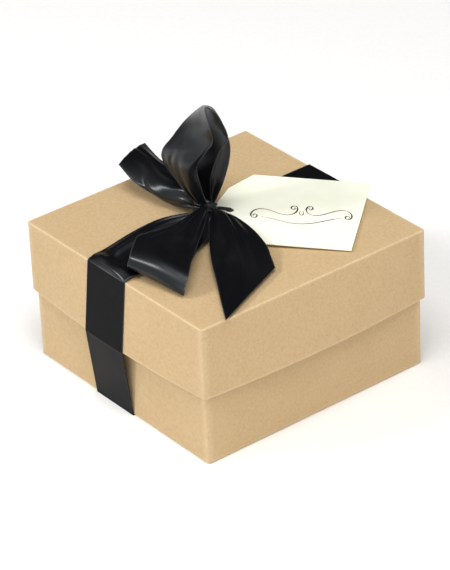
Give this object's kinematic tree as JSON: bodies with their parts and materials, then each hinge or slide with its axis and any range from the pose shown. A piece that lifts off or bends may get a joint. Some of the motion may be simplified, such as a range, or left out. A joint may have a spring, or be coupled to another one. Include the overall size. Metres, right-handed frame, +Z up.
{
  "type": "gift box",
  "caption": "Square two-piece kraft gift box with a deep lift-off lid, a satin ribbon band tied in a bow on top, and a clipped-corner card tag.",
  "frame": {"origin": "middle of the box's footprint, on the face that it rests on: the underside of the ribbon's run under the base", "axes": "+Z up, the way the lid lifts; the ribbon band runs along Y, over the front wall at -Y, the lid and the back wall at +Y; +X is the other wall that shows with the front"},
  "size_m": [0.1925, 0.1974, 0.1857],
  "materials": {
    "kraft_paper": "matte uncoated kraft",
    "lining_paper": "matte uncoated kraft lining",
    "chipboard": "raw grey board",
    "stay_tape": "gummed paper",
    "satin_ribbon": "black double-face satin",
    "tag_card": "smooth uncoated ivory card"
  },
  "bodies": {
    "base": {"base_board": "chipboard", "base_corner_stays": "stay_tape", "base_wrap": "kraft_paper", "base_liner": "lining_paper"},
    "ribbon_under": {"ribbon_under_run": "satin_ribbon"},
    "lid": {"lid_board": "chipboard", "lid_corner_stays": "stay_tape", "lid_wrap": "kraft_paper", "lid_liner": "lining_paper"},
    "ribbon": {"ribbon_front_run": "satin_ribbon", "ribbon_back_run": "satin_ribbon", "ribbon_top_front": "satin_ribbon", "ribbon_top_back": "satin_ribbon", "bow_knot": "satin_ribbon", "bow_loop_tall": "satin_ribbon", "bow_loop_front": "satin_ribbon", "bow_tail_left": "satin_ribbon", "bow_tail_right": "satin_ribbon"},
    "tag": {"tag_card": "tag_card", "tag_tie": "satin_ribbon"}
  },
  "joints": [
    {"name": "lid_lift", "type": "slide", "parent": "base", "child": "lid", "axis": [0, 0, 1], "range_m": [0, 0.062]},
    {"name": "ribbon_slide", "type": "slide", "parent": "lid", "child": "ribbon", "axis": [1, 0, 0], "range_m": [-0.112, 0]},
    {"name": "ribbon_under_slide", "type": "slide", "parent": "base", "child": "ribbon_under", "axis": [1, 0, 0], "range_m": [-0.112, 0]},
    {"name": "tag_swing", "type": "hinge", "parent": "ribbon", "child": "tag", "pos_m": [-0.01, -0.004, 0.1028], "axis": [0, 0, 1], "range_deg": [-5, 15]}
  ],
  "couplings": [
    {"joint": "ribbon_under_slide", "follows": "ribbon_slide", "ratio": 1}
  ]
}
